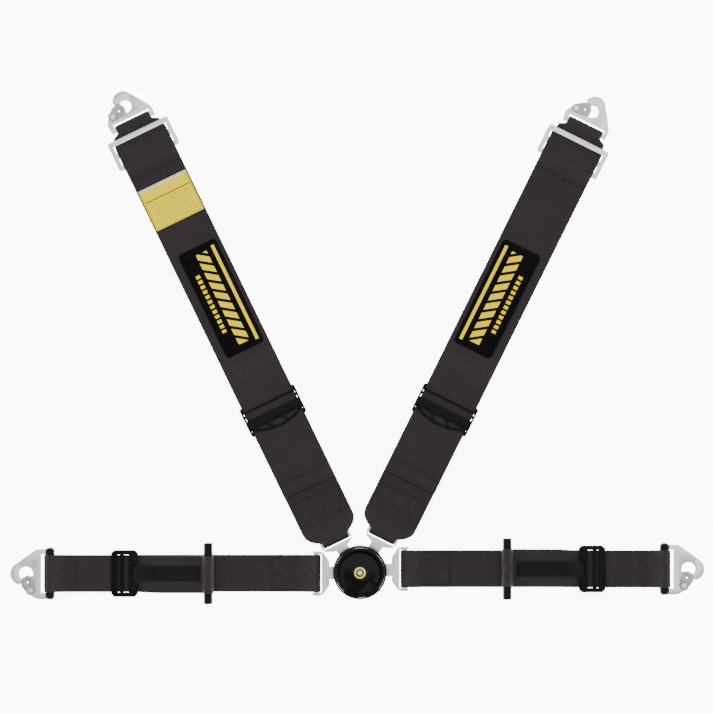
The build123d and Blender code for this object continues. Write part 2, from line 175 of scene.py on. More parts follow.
def ribbon(name, lie, path, half, material, body, thick=DRAWN, across=28, drift=None, pucker=None):
    """Webbing: a flat oval profile carried along a path.

    The path gives (distance, height). The profile at x from -1 to 1 across is half(u) times x, and its two
    faces stand thick / 2 times (1 - 0.5 x^14) from the path, with a small bead beside each edge.
    """
    path = eased(np.concatenate(path))
    ahead = np.gradient(path, axis=0)
    ahead /= np.linalg.norm(ahead, axis=1, keepdims=True)
    normal = np.stack([-ahead[:, 1], ahead[:, 0]], axis=-1)
    x = np.sin(np.linspace(-1, 1, across) * math.pi / 2)
    rise = (1 - 0.5 * np.abs(x) ** 14) + 0.10 * np.exp(-(((np.abs(x) - 0.94) / 0.03) ** 2))
    section_x = np.concatenate([x, [1.004], x[::-1], [-1.004]])
    section_n = np.concatenate([rise, [0.0], -rise[::-1], [0.0]]) * thick / 2
    width = np.asarray(half(path[:, 0]), float)
    u = path[:, :1] + normal[:, :1] * section_n
    z = path[:, 1:] + normal[:, 1:] * section_n
    v = width[:, None] * section_x
    if drift is not None:
        v = v + drift(path[:, 0])[:, None]
    if pucker is not None:
        z = z + pucker(u, section_x[None, :])
    places = lie.place(u, v, z)
    rows, columns = u.shape
    index = np.arange(rows * columns).reshape(rows, columns)
    right = np.roll(index, -1, axis=1)
    quads = np.stack([index[:-1], right[:-1], right[1:], index[1:]], axis=-1).reshape(-1, 4)
    caps = [index[0][::-1].tolist(), index[-1].tolist()]
    if turned_inside(places, quads):
        quads = quads[:, ::-1]
        caps = [cap[::-1] for cap in caps]
    mesh = bpy.data.meshes.new(name)
    mesh.from_pydata(places.reshape(-1, 3).tolist(), [], quads.tolist() + caps)
    length = np.concatenate([[0], np.cumsum(np.linalg.norm(np.diff(path, axis=0), axis=1))])
    chart = np.stack([np.broadcast_to(v, u.shape), np.broadcast_to(length[:, None], u.shape)], axis=-1) * MM
    corners = np.empty(len(mesh.loops), int)
    mesh.loops.foreach_get("vertex_index", corners)
    layer = mesh.uv_layers.new(name="cloth")
    layer.data.foreach_set("uv", chart.reshape(-1, 2)[corners].ravel())
    mesh.shade_smooth()
    piece = add_object(name, mesh, material, body)
    area = ((width[1:] + width[:-1]) * np.diff(length)).sum()
    return piece, float(length[-1]) * MM, float(area) * MM * MM


def turned_inside(places, quads):
    """True where the quads face inwards: the enclosed volume, a sum of triple products, is negative."""
    flat = places.reshape(-1, 3)
    a, b, c, d = (flat[quads[:, i]] for i in range(4))
    volume = np.einsum("ij,ij->i", a, np.cross(b, c)) + np.einsum("ij,ij->i", a, np.cross(c, d))
    return volume.sum() < 0


def stitches(name, lie, rows, height, material, body, pitch=3.6):
    """Rows of thread: one small ellipsoid, copied at equal steps along each straight row of a seam."""
    places, turns = [], []
    for (u0, v0), (u1, v1) in rows:
        count = max(1, int(math.hypot(u1 - u0, v1 - v0) / pitch))
        t = (np.arange(count) + 0.5) / count
        places.append(np.stack([u0 + t * (u1 - u0), v0 + t * (v1 - v0)], axis=-1))
        turns.append(np.full(count, math.atan2(v1 - v0, u1 - u0)))
    places, turns = np.concatenate(places), np.concatenate(turns)
    lat = np.radians([-90, -35, 35, 90])[:, None]
    lon = np.radians(np.arange(6) * 60)[None, :]
    run = 1.35 * np.sin(lat) * np.ones_like(lon)
    side = 0.34 * np.cos(lat) * np.cos(lon)
    up = 0.26 * np.cos(lat) * np.sin(lon)
    run, side, up = (g.ravel() for g in (run, side, up))
    cos, sin = np.cos(turns)[:, None], np.sin(turns)[:, None]
    u = places[:, :1] + run * cos - side * sin
    v = places[:, 1:] + run * sin + side * cos
    z = np.broadcast_to(height + up, u.shape)
    grid = np.arange(24).reshape(4, 6)
    after = np.roll(grid, -1, 1)
    faces = np.stack([grid[:-1], after[:-1], after[1:], grid[1:]], -1).reshape(-1, 4)
    every = (faces[None] + 24 * np.arange(len(places))[:, None, None]).reshape(-1, 4)
    mesh = bpy.data.meshes.new(name)
    mesh.from_pydata(lie.place(u, v, z).reshape(-1, 3).tolist(), [], every.tolist())
    mesh.validate()
    merge_and_turn_out(mesh)
    mesh.shade_smooth()
    return add_object(name, mesh, material, body)


def merge_and_turn_out(mesh):
    """Joins doubled points at the poles and turns every face outwards."""
    work = bmesh.new()
    work.from_mesh(mesh)
    bmesh.ops.remove_doubles(work, verts=work.verts, dist=1e-7)
    bmesh.ops.recalc_face_normals(work, faces=work.faces)
    work.to_mesh(mesh)
    work.free()


def round_edges(node, width, angle=32.0):
    """Small rounded edges on a part of the frame, with its curved faces smooth."""
    part = frame["nodes"][node]
    part.data.shade_smooth()
    weld = part.modifiers.new("join", "WELD")
    weld.merge_threshold = 2e-6
    bevel = part.modifiers.new("edge", "BEVEL")
    bevel.width = width * MM
    bevel.segments = 2
    bevel.limit_method = "ANGLE"
    bevel.angle_limit = math.radians(angle)
    bevel.use_clamp_overlap = True
    bevel.harden_normals = True
    return part


def dress(nodes, material, width=0.0, edge_shade=None):
    """Gives frame nodes a material in place of their plain one, and rounded edges where asked.

    The rounded edges take the second material, where there is one: on plating, a dark finish that paints
    shade along the edges.
    """
    for node in nodes:
        part = frame["nodes"][node]
        part.data.materials.clear()
        part.data.materials.append(material)
        if width:
            round_edges(node, width)
        if edge_shade is not None:
            part.data.materials.append(edge_shade)
            part.modifiers["edge"].material = 1


# Materials


class Value:
    """A socket that can be added, multiplied and compared like a number."""

    def __init__(self, finish, socket):
        self.finish = finish
        self.socket = socket

    def _do(self, operation, *values):
        return self.finish.node("ShaderNodeMath", {"operation": operation}, dict(enumerate(values)))

    def __add__(self, other):
        return self._do("ADD", self, other)

    def __sub__(self, other):
        return self._do("SUBTRACT", self, other)

    def __mul__(self, other):
        return self._do("MULTIPLY", self, other)

    def __truediv__(self, other):
        return self._do("DIVIDE", self, other)

    def __lt__(self, other):
        return self._do("LESS_THAN", self, other)

    def __gt__(self, other):
        return self._do("GREATER_THAN", self, other)

    def __abs__(self):
        return self._do("ABSOLUTE", self)

    __radd__ = __add__
    __rmul__ = __mul__

    def sin(self):
        return self._do("SINE", self)

    def fraction(self):
        return self._do("FRACT", self)

    def pingpong(self, span):
        return self._do("PINGPONG", self, span)

    def or_(self, other):
        return self._do("MAXIMUM", self, other)

    def root(self):
        return self._do("SQRT", self)


class Finish:
    """One material: its nodes, and the shader that they end in."""

    def __init__(self, name, **fixed):
        self.material = bpy.data.materials.new(name)
        self.material.use_nodes = True
        self.tree = self.material.node_tree
        self.shader = self.tree.nodes["Principled BSDF"]
        for socket, value in fixed.items():
            self.shader.inputs[socket.replace("_", " ")].default_value = value

    def node(self, kind, settings=None, sockets=None, output=0):
        """Adds a node, with its settings first and then the values or links of its sockets."""
        node = self.tree.nodes.new(kind)
        for key, value in (settings or {}).items():
            setattr(node, key, value)
        for key, value in (sockets or {}).items():
            if isinstance(value, Value):
                self.tree.links.new(value.socket, node.inputs[key])
            else:
                node.inputs[key].default_value = value
        return Value(self, node.outputs[output])

    def feed(self, socket, value):
        """Links a value to one socket of the shader."""
        self.tree.links.new(value.socket, self.shader.inputs[socket])

    def parts(self, vector):
        """The three numbers of a vector."""
        first = self.node("ShaderNodeSeparateXYZ", sockets={0: vector})
        outputs = first.socket.node.outputs
        return [Value(self, output) for output in outputs]

    def place(self):
        """Object coordinates."""
        return self.node("ShaderNodeTexCoord", output=3)

    def noise(self, vector, scale, detail=3.0, stretch=None):
        """Noise from 0 to 1, stretched where asked."""
        if stretch is not None:
            vector = self.node("ShaderNodeMapping", sockets={"Vector": vector, "Scale": stretch})
        return self.node("ShaderNodeTexNoise", sockets={"Vector": vector, "Scale": scale, "Detail": detail})

    def blend(self, amount, first, second):
        """Colour between two colours."""
        return self.node(
            "ShaderNodeMix", {"data_type": "RGBA"}, {0: amount, 6: first, 7: second}, output=2
        )

    def spread(self, value, low, high):
        """A 0 to 1 value carried to another range, kept inside it."""
        return self.node("ShaderNodeMapRange", sockets={"Value": value, "To Min": low, "To Max": high})

    def bump(self, height, strength, distance):
        """Relief from a height."""
        relief = self.node(
            "ShaderNodeBump", sockets={"Height": height, "Strength": strength, "Distance": distance}
        )
        self.feed("Normal", relief)


def shade(colour, factor):
    """A colour made lighter or darker."""
    return (colour[0] * factor, colour[1] * factor, colour[2] * factor, 1.0)


def webbing_finish(settings, name, tint):
    """Ribbed harness webbing: a herringbone weave, slightly paler crowns and dull wear."""
    finish = Finish(name, Sheen_Weight=settings.sheen, Sheen_Roughness=0.5, Specular_IOR_Level=0.2)
    chart = finish.node("ShaderNodeTexCoord", output=2)
    across, along, _ = finish.parts(chart)
    across, along = across * 1000, along * 1000
    rib = ((across * (2 * math.pi / 1.9)).sin() + 1) * 0.5
    twill = (((along + across.pingpong(3.8) * 1.2) * (2 * math.pi / 1.7)).sin() + 1) * 0.5
    weave = rib * 0.45 + twill * 0.55
    worn = finish.noise(finish.place(), 22.0, 5.0)
    fuzz = finish.noise(finish.place(), 900.0, 2.0)
    mottle = weave * 0.55 + worn * 0.3 + fuzz * 0.25
    colour = finish.blend(mottle, shade(tint, 0.45), shade(tint, 1.75))
    finish.feed("Base Color", colour)
    finish.feed("Roughness", finish.spread(worn * 0.6 + weave * 0.4, 0.62, 0.9))
    finish.bump(weave + fuzz * 0.4, 0.75, 0.00035)
    return finish.material


def thread_finish(settings):
    """Twisted black thread, a little glossier than the webbing."""
    finish = Finish("sewing thread", Specular_IOR_Level=0.05)
    ply = finish.noise(finish.place(), 2600.0, 1.0)
    finish.feed("Base Color", finish.blend(ply, shade(settings.colour, 0.25), shade(settings.colour, 0.8)))
    finish.feed("Roughness", finish.spread(ply, 0.4, 0.65))
    finish.bump(ply, 0.4, 0.0001)
    return finish.material


def plated_finish(name, colour, rough, brush=(60.0, 900.0, 60.0)):
    """Plated steel: fine brushing, cloudy smudges and small nicks."""
    finish = Finish(name, Metallic=1.0)
    place = finish.place()
    brushed = finish.noise(place, 1.0, 3.0, stretch=brush)
    cloud = finish.noise(place, 45.0, 4.0)
    nick = finish.noise(place, 420.0, 2.0) > 0.69
    tone = finish.blend(cloud * 0.6 + brushed * 0.4, shade(colour, 0.86), shade(colour, 1.06))
    finish.feed("Base Color", finish.blend(nick * 0.35, tone, shade(colour, 0.6)))
    wear = cloud * 0.55 + brushed * 0.45 + nick * 0.2
    finish.feed("Roughness", finish.spread(wear, rough - 0.1, rough + 0.16))
    finish.bump(brushed * 0.5 + cloud * 0.2 - nick * 0.5, 0.22, 0.00008)
    return finish.material


def powder_finish(name, colour):
    """Black powder coat: fine orange peel with rubbed, glossier patches."""
    finish = Finish(name, Specular_IOR_Level=0.08)
    place = finish.place()
    peel = finish.noise(place, 1500.0, 2.0)
    rubbed = finish.noise(place, 60.0, 4.0)
    finish.feed("Base Color", finish.blend(rubbed, shade(colour, 0.7), shade(colour, 1.6)))
    finish.feed("Roughness", finish.spread(rubbed * 0.7 + peel * 0.3, 0.28, 0.55))
    finish.bump(peel, 0.3, 0.00006)
    return finish.material


def plastic_finish(name, colour, low, high):
    """Moulded plastic: faint flow marks, scuffs and fine pimples."""
    finish = Finish(name, Specular_IOR_Level=0.1)
    place = finish.place()
    scuff = finish.noise(place, 260.0, 4.0, stretch=(1.0, 0.2, 1.0))
    flow = finish.noise(place, 30.0, 3.0)
    finish.feed("Base Color", finish.blend(flow, shade(colour, 0.8), shade(colour, 1.5)))
    finish.feed("Roughness", finish.spread(scuff * 0.6 + flow * 0.4, low, high))
    finish.bump(scuff, 0.12, 0.00005)
    return finish.material


def emblem_finish(ink):
    """Plain badge: a printed ring and a dot on gloss black."""
    finish = Finish("knob badge", Coat_Weight=0.6, Coat_Roughness=0.08)
    place = finish.place()
    x, y, _ = finish.parts(place)
    out = (x * x + y * y).root() * 1000
    ring = abs(out - 6.6) < 0.9
    dot = out < 2.8
    grain = finish.noise(place, 700.0)
    black = finish.blend(grain, (0.004, 0.004, 0.005, 1), (0.012, 0.012, 0.013, 1))
    finish.feed("Base Color", finish.blend(ring.or_(dot), black, shade(ink, 1.0)))
    finish.feed("Roughness", finish.spread(grain, 0.15, 0.3))
    finish.bump(ring.or_(dot), 0.2, 0.00005)
    return finish.material


def print_place(finish, lie, middle, offset):
    """Distance along and across from a print's middle, in millimetres."""
    centre = lie.place(np.array(middle), np.array(offset), np.array(0.0))
    turned = finish.node(
        "ShaderNodeMapping",
        {"vector_type": "TEXTURE"},
        {"Vector": finish.place(), "Location": tuple(centre), "Rotation": (0, 0, lie.heading)},
    )
    x, y, _ = finish.parts(turned)
    return x * 1000, y * 1000


def patch_finish(lie, ink, inward):
    """Black rubber patch: a stripe by its inner edge, a band of slanted bars and a row of short dashes."""
    near, far = lie.span(f"{lie.name}_patch")
    finish = Finish(f"{lie.name} patch print", Specular_IOR_Level=0.04)
    x, y = print_place(finish, lie, (near + far) / 2, 3.0 * inward)
    y = y * inward
    stripe = (abs(y - 20.5) < 2.2) * (abs(x) < 70.5)
    bars = (abs(y - 2.5) < 8.0) * (abs(x) < 67.0) * (((x + y * 0.7) / 14.0).fraction() < 0.66)
    dashes = (abs(y + 15.5) < 3.0) * (abs(x) < 44.0) * ((x / 7.4).fraction() < 0.6)
    printed = stripe.or_(bars).or_(dashes)
    place = finish.place()
    grain = finish.noise(place, 1100.0, 3.0)
    wear = finish.noise(place, 90.0, 4.0)
    rubber = finish.blend(wear, (0.0008, 0.0008, 0.0009, 1), (0.0028, 0.0026, 0.0028, 1))
    ink_tone = finish.blend(wear * 0.6 + grain * 0.4, shade(ink, 0.82), shade(ink, 1.08))
    finish.feed("Base Color", finish.blend(printed, rubber, ink_tone))
    finish.feed("Roughness", finish.spread(grain * 0.5 + printed * 0.3, 0.45, 0.7))
    finish.bump(grain * 0.3 + printed * 0.5, 0.3, 0.00008)
    return finish.material


def label_finish(lie, ink):
    """Yellow woven label with a pale top edge, one rule below it and faint rules in place of words."""
    near, far = lie.span("shoulder_left_label")
    finish = Finish("sewn label print", Specular_IOR_Level=0.05)
    x, y = print_place(finish, lie, (near + far) / 2, 0.0)
    top = x > 26.0
    head = (abs(x - 11.0) < 0.6) * (abs(y) < 33.0)
    rules = (abs((x / 4.2).fraction() - 0.5) < 0.09) * (abs(x + 9.0) < 16.0) * (abs(y) < 28.0)
    dark = head.or_(rules * 0.45)
    place = finish.place()
    grain = finish.noise(place, 1300.0, 2.0)
    soil = finish.noise(place, 70.0, 4.0)
    cloth = finish.blend(soil * 0.7 + grain * 0.3, shade(ink, 0.86), shade(ink, 1.05))
    cloth = finish.blend(top * 0.85, cloth, (0.8, 0.78, 0.7, 1))
    finish.feed("Base Color", finish.blend(dark, cloth, (0.02, 0.018, 0.012, 1)))
    finish.feed("Roughness", finish.spread(grain, 0.55, 0.8))
    finish.bump(grain, 0.4, 0.0001)
    return finish.material


# Webbing of each kind of strap


def inner_path(lie, facts):
    """From the adjuster's sewn end, round its bar, down to the tongue's bar and back to its own sewn end."""
    a = adjuster_start(lie)
    turn = a + facts["bar_end"] + 0.2 - 1.6
    away = leave((0, BAR_LEVEL), FOLD, (20, 2.1), 1) - 360
    return [
        line((a - 45, 2.1), (a - 25, 2.1), (a - 3, 5.25), (turn, 5.3)),
        arc((turn, 3.0), 2.3, 85, -85),
        line((turn, 0.7), (3, 0.7)),
        arc((0, BAR_LEVEL), FOLD, -90, away),
        line((20, 2.1), (facts["sewn"], 2.1)),
    ]


def adjuster_start(lie):
    """Where the adjuster begins along a strap: its nearest edge."""
    return lie.span(f"{lie.name}_adjuster_frame")[0]


def shoulder_path(lie, facts):
    """From the folded hem, through the adjuster, round the hook's bar and over the slide."""
    a, h = adjuster_start(lie), lie.hook
    s = lie.span(f"{lie.name}_three_bar_slide")[0]
    tail, over = facts["tail"], 6.1
    up = leave((h, BAR_LEVEL), FOLD, (h - 11, 2.1), -1) + 360
    return [
        line((tail + 19.5, 8.42), (tail + 0.8, 8.42)),
        arc((tail + 0.8, 7.76), 0.66, 90, 270),
        line((tail + 0.8, TAIL_LEVEL), (a + 79, TAIL_LEVEL), (a + 107, 0.7), (h - 3, 0.7)),
        arc((h, BAR_LEVEL), FOLD, -90, up),
        line((h - 11, 2.1), (s + 33, 2.1), (s + 26, over), (s - 1, over), (s - 9, 2.1), (facts["end"], 2.1)),
    ]


def lap_path(lie):
    """From the seam beside the toggle, round it, through the adjuster and round the sleeve."""
    a, h = adjuster_start(lie), lie.hook
    low, high = lie.span(f"{lie.name}_toggle_bar")
    t = (low + high) / 2
    over = leave((h, SLEEVE_LEVEL), SLEEVE_FOLD, (a + 100, TAIL_LEVEL), -1)
    under = leave((h, SLEEVE_LEVEL), SLEEVE_FOLD, (a + 100, 5.7), 1)
    over %= 360
    under = under % 360 - 360
    return [
        line((t + 30, 5.7), (t + 6.5, 5.7)),
        arc((t, TOGGLE_LEVEL), TOGGLE_FOLD, -40, -372),
        line((t + 9, TAIL_LEVEL), (a + 100, TAIL_LEVEL)),
        arc((h, SLEEVE_LEVEL), SLEEVE_FOLD, over, under),
        line((a + 100, 5.7), (a + 80, 5.7)),
    ]


def smooth_steps(u, stops, halves):
    """Half-width along a strap: eased from one width to the next with 3 t^2 - 2 t^3."""
    stops, halves = np.array(stops, float), np.array(halves, float)
    k = np.clip(np.searchsorted(stops, u) - 1, 0, len(stops) - 2)
    t = np.clip((u - stops[k]) / (stops[k + 1] - stops[k]), 0, 1)
    return halves[k] + (halves[k + 1] - halves[k]) * t * t * (3 - 2 * t)


def box_seam(u0, u1, half, bars):
    """A sewn box with slanting rows between its long sides, as pairs of ends."""
    edge = half - 3.5
    rows = [((u0, -edge), (u0, edge)), ((u1, -edge), (u1, edge))]
    rows += [((u0, side * edge), (u1, side * edge)) for side in (-1, 1)]
    spots = np.linspace(-edge, edge, bars + 1)
    for number, (left, right) in enumerate(zip(spots, spots[1:])):
        ends = (u0, u1) if number % 2 else (u1, u0)
        rows.append(((ends[0], left), (ends[1], right)))
    return rows


def declare(width, length, area):
    """Works out the flat size that a web was cut to and the smaller of that and the web's area; nothing is
    kept.
    """
    flat = (2 * width * MM, length)
    min(area, flat[0] * flat[1])


class HarnessCloth(bpy.types.PropertyGroup):
    """Colours of the woven pieces."""

    colour: FloatVectorProperty(
        name="Webbing", description="Colour of the webbing",
        subtype="COLOR", default=(0.0190, 0.0140, 0.0155)
    )
    sheen: FloatProperty(name="Sheen", description="Soft sheen of the fibres", default=0.06, min=0, max=1)
    ink: FloatVectorProperty(
        name="Print", description="Colour of the prints", subtype="COLOR", default=(1.0, 0.72, 0.0)
    )
    label: FloatVectorProperty(
        name="Label", description="Colour of the sewn label", subtype="COLOR", default=(1.0, 0.78, 0.0)
    )


class HarnessMetal(bpy.types.PropertyGroup):
    """Colours of the hardware."""

    bright: FloatVectorProperty(
        name="Plating", description="Colour of hooks and slides", subtype="COLOR", default=(0.60, 0.60, 0.60)
    )
    tongue: FloatVectorProperty(
        name="Tongues", description="Colour of the tongues", subtype="COLOR", default=(0.46, 0.46, 0.47)
    )
    gate: FloatVectorProperty(
        name="Gates", description="Colour of the sprung gates", subtype="COLOR", default=(0.30, 0.30, 0.31)
    )
    # Dark colour painted on the rounded edges of plating: painted shade along the edges, not wear
    edge_shade: FloatVectorProperty(
        name="Edges", description="Colour of the rounded edges of plating",
        subtype="COLOR", default=(0.10, 0.10, 0.105)
    )
    black: FloatVectorProperty(
        name="Powder coat", description="Colour of the adjusters",
        subtype="COLOR", default=(0.0012, 0.0012, 0.0014)
    )
    plastic: FloatVectorProperty(
        name="Plastic", description="Colour of knob, housing and bars",
        subtype="COLOR", default=(0.0012, 0.0012, 0.0013)
    )
    edge: FloatProperty(
        name="Edge radius", description="Radius of the metal edges, in millimetres", default=0.35, min=0
    )


class HarnessStage(bpy.types.PropertyGroup):
    """Floor, light and camera."""

    floor: FloatVectorProperty(
        name="Floor", description="Colour of the floor", subtype="COLOR", default=(0.98, 0.98, 0.98)
    )
    key: FloatProperty(
        name="Soft light", description="Power of the large lamp", default=62.0, min=0, unit="POWER"
    )
    sky: FloatProperty(name="Fill", description="Strength of the even light", default=0.8, min=0)
    glow: FloatProperty(name="Floor glow", description="Light from the lit floor", default=9.0, min=0)
    aim: FloatVectorProperty(
        name="Aim", description="From the middle of the harness to the view's middle", size=3,
        default=(-0.001, -0.0120, 0.0), unit="LENGTH", subtype="TRANSLATION",
    )
    field: FloatProperty(
        name="Field", description="Width that the camera sees at the floor", default=0.966, unit="LENGTH"
    )


class HARNESS_OT_webbing(bpy.types.Operator):
    """Make the webs of all four straps, with their seams"""

    bl_idname = "harness.webbing"
    bl_label = "Webbing"

    def execute(self, context):
        settings = context.scene.harness_cloth
        cloth = webbing_finish(settings, "harness webbing", settings.colour)
        thread = thread_finish(settings)
        for name, facts in STRAPS.items():
            if name.startswith("shoulder"):
                self.shoulder(LIES[name], facts, cloth, thread)
            else:
                self.lap(LIES[name], facts, cloth, thread)
        return {"FINISHED"}

    def shoulder(self, lie, facts, cloth, thread):
        """The lower web, gathered at the tongue, and the long upper web."""
        name, a, h = lie.name, adjuster_start(lie), lie.hook

        def half(u):
            t = np.clip((u - 5) / 19, 0, 1)
            return SHOULDER_NECK + (SHOULDER_HALF - SHOULDER_NECK) * np.sqrt(t * (2 - t))

        def gathered(u, x):
            reach = np.clip((34 - u) / 18, 0, 1) * np.clip((u - 4) / 8, 0, 1)
            return 0.55 * reach * (1 + np.cos(5 * math.pi * x))

        lower, length, area = ribbon(
            f"{name}_lower_webbing", lie, inner_path(lie, facts), half, cloth, f"{name}_lower",
            pucker=gathered,
        )
        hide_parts(f"{name}_lower_web")
        declare(SHOULDER_HALF, length, area)

        def hook_half(u):
            return smooth_steps(u, (h - 24, h - 10, h - 5), (SHOULDER_HALF, 34, 25))

        upper, length, area = ribbon(
            f"{name}_upper_webbing", lie, shoulder_path(lie, facts), hook_half, cloth, f"{name}_upper"
        )
        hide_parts(f"{name}_upper_web")
        declare(SHOULDER_HALF, length, area)
        seam = box_seam(31, facts["sewn"] - 2.5, SHOULDER_HALF, 6)
        hem = [((facts["tail"] + gap, -34), (facts["tail"] + gap, 34)) for gap in (3, 15, 17.4)]
        end = [((facts["end"] + gap, -34), (facts["end"] + gap, 34)) for gap in (2.5, 5)]
        stitches(f"{name}_tongue_seam", lie, seam, LOW_SEAM, thread, f"{name}_lower")
        stitches(f"{name}_tail_hem_seam", lie, hem, HEM_SEAM, thread, f"{name}_upper")
        stitches(f"{name}_end_seam", lie, end, LOW_SEAM, thread, f"{name}_upper")
        hidden = box_seam(a - 43, a - 27, SHOULDER_HALF, 6)
        stitches(f"{name}_adjuster_seam", lie, hidden, LOW_SEAM, thread, f"{name}_lower")

    def lap(self, lie, facts, cloth, thread):
        """The inner web and the outer web with the toggle sewn in."""
        name, a = lie.name, adjuster_start(lie)

        def half(u):
            return np.full(np.shape(u), LAP_HALF)

        def drift(u):
            return 1.6 * smooth_steps(u, (a - 40, a + 10), (1.0, 0.0))

        inner, length, area = ribbon(
            f"{name}_inner_webbing", lie, inner_path(lie, facts), half, cloth, f"{name}_inner", across=22
        )
        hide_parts(f"{name}_inner_web")
        declare(LAP_HALF, length, area)
        outer, length, area = ribbon(
            f"{name}_outer_webbing", lie, lap_path(lie), half, cloth, f"{name}_outer", across=22, drift=drift
        )
        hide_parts(f"{name}_outer_web")
        declare(LAP_HALF, length, area)
        low, high = lie.span(f"{name}_toggle_bar")
        t = (low + high) / 2
        near_tongue = box_seam(23, facts["sewn"] - 2.5, LAP_HALF, 4)
        near_toggle = box_seam(t + 11, t + 27, LAP_HALF, 4)
        near_hook = box_seam(a + 82, a + 98, LAP_HALF, 4)
        stitches(f"{name}_tongue_seam", lie, near_tongue, LOW_SEAM, thread, f"{name}_inner")
        stitches(f"{name}_toggle_seam", lie, near_toggle, RAISED_SEAM, thread, f"{name}_outer")
        stitches(f"{name}_hook_seam", lie, near_hook, RAISED_SEAM, thread, f"{name}_outer")


class HARNESS_OT_pull_straps(bpy.types.Operator):
    """Make the two narrow pull straps of the lap adjusters"""

    bl_idname = "harness.pull_straps"
    bl_label = "Pull straps"

    def execute(self, context):
        settings = context.scene.harness_cloth
        cloth = webbing_finish(settings, "narrow webbing", shade(settings.colour, 0.12))
        thread = bpy.data.materials["sewing thread"]
        for name in ("lap_left", "lap_right"):
            lie = LIES[name]
            u = adjuster_start(lie) + 1.5
            up = leave((u, RELEASE_LEVEL), RELEASE_FOLD, (u - 9, 9.9), -1) % 360
            path = [
                line((u - 85.2, 8.7), (u, 8.7)),
                arc((u, RELEASE_LEVEL), RELEASE_FOLD, -90, up),
                line((u - 9, 9.9), (u - 24, 9.9)),
            ]
            strap, length, area = ribbon(
                f"{name}_pull_strap", lie, path, lambda w: np.full(np.shape(w), RELEASE_HALF),
                cloth, f"{name}_release", thick=RELEASE_WEB, across=14,
            )
            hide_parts(f"{name}_release_strap")
            declare(RELEASE_HALF, length, area)
            seam = box_seam(u - 22.5, u - 11, RELEASE_HALF, 2)
            stitches(f"{name}_pull_seam", lie, seam, 10.5, thread, f"{name}_release", pitch=2.9)
            tip = [((u - 83, -8), (u - 83, 8)), ((u - 80.5, -8), (u - 80.5, 8))]
            stitches(f"{name}_pull_tip_seam", lie, tip, 9.3, thread, f"{name}_release", pitch=2.9)
        return {"FINISHED"}


class HARNESS_OT_hooks(bpy.types.Operator):
    """Finish the snap hooks, their gates, rivets and springs"""

    bl_idname = "harness.hooks"
    bl_label = "Snap hooks"

    def execute(self, context):
        metal = context.scene.harness_metal
        bright = plated_finish("bright plating", metal.bright, 0.34)
        satin = plated_finish("satin gate steel", metal.gate, 0.38)
        wire = plated_finish("spring wire", (0.45, 0.45, 0.46), 0.3)
        # Dark plating for the rounded edges of hooks, rivets and gates: painted shade along the edges
        edge_shade = plated_finish("plating with painted edge shade", metal.edge_shade, 0.5)
        dress([f"{name}_hook" for name in STRAPS], bright, 0.75, edge_shade)
        dress([f"{name}_gate_rivet" for name in STRAPS], bright, 0.4, edge_shade)
        dress([f"{name}_gate" for name in STRAPS], satin, 0.35, edge_shade)
        dress([f"{name}_gate_spring" for name in STRAPS], wire)
        return {"FINISHED"}


class HARNESS_OT_adjusters(bpy.types.Operator):
    """Finish the adjusters, their lock bars and the three-bar slides"""

    bl_idname = "harness.adjusters"
    bl_label = "Adjusters and slides"

    def execute(self, context):
        metal = context.scene.harness_metal
        coat = powder_finish("adjuster powder coat", metal.black)
        dress([f"{name}_adjuster_frame" for name in STRAPS], coat, metal.edge)
        dress([f"{name}_adjuster_lock_bar" for name in STRAPS], coat, 0.25)
        slides = [f"{name}_three_bar_slide" for name in STRAPS if name.startswith("shoulder")]
        # The slides' rounded edges also take the dark plating with painted edge shade
        dress(slides, bpy.data.materials["bright plating"], 0.6, bpy.data.materials["plating with painted edge shade"])
        return {"FINISHED"}


class HARNESS_OT_buckle(bpy.types.Operator):
    """Finish the rotary buckle, its mechanism and the tongues"""

    bl_idname = "harness.buckle"
    bl_label = "Rotary buckle"

    def execute(self, context):
        metal = context.scene.harness_metal
        gloss = plastic_finish("gloss black moulding", metal.plastic, 0.12, 0.3)
        zinc = plated_finish("zinc plating", (0.6, 0.6, 0.62), 0.36)
        dark = powder_finish("black oxide steel", (0.02, 0.02, 0.021))
        steel = plated_finish("tongue steel", metal.tongue, 0.3, brush=(900.0, 60.0, 60.0))
        dress(["turn_knob", "buckle_housing"], gloss, 0.5)
        dress(["knob_emblem"], emblem_finish(context.scene.harness_cloth.ink), 0.2)
        dress(["buckle_base_plate", "latch_carrier"], dark, 0.3)
        moving = ["latch_shoulder_left", "latch_shoulder_right", "latch_lap_right"]
        dress(["cam_spindle", "fixed_tongue_pin", "housing_screws"] + moving, zinc, 0.15)
        dress(["knob_return_spring", "latch_springs"], bpy.data.materials["spring wire"])
        dress([f"{name}_tongue" for name in STRAPS], steel, metal.edge)
        return {"FINISHED"}


class HARNESS_OT_plastic_bars(bpy.types.Operator):
    """Finish the toggle bars and the sleeves on the lap hooks"""

    bl_idname = "harness.plastic_bars"
    bl_label = "Toggle bars and sleeves"

    def execute(self, context):
        settings = context.scene.harness_metal
        satin = plastic_finish("satin black moulding", settings.plastic, 0.25, 0.45)
        names = [name for name in STRAPS if name.startswith("lap")]
        dress([f"{name}_toggle_bar" for name in names], satin)
        dress([f"{name}_hook_bar_cover" for name in names], satin)
        for name in names:
            for node in (f"{name}_toggle_bar", f"{name}_hook_bar_cover"):
                frame["nodes"][node].data.shade_smooth()
        return {"FINISHED"}


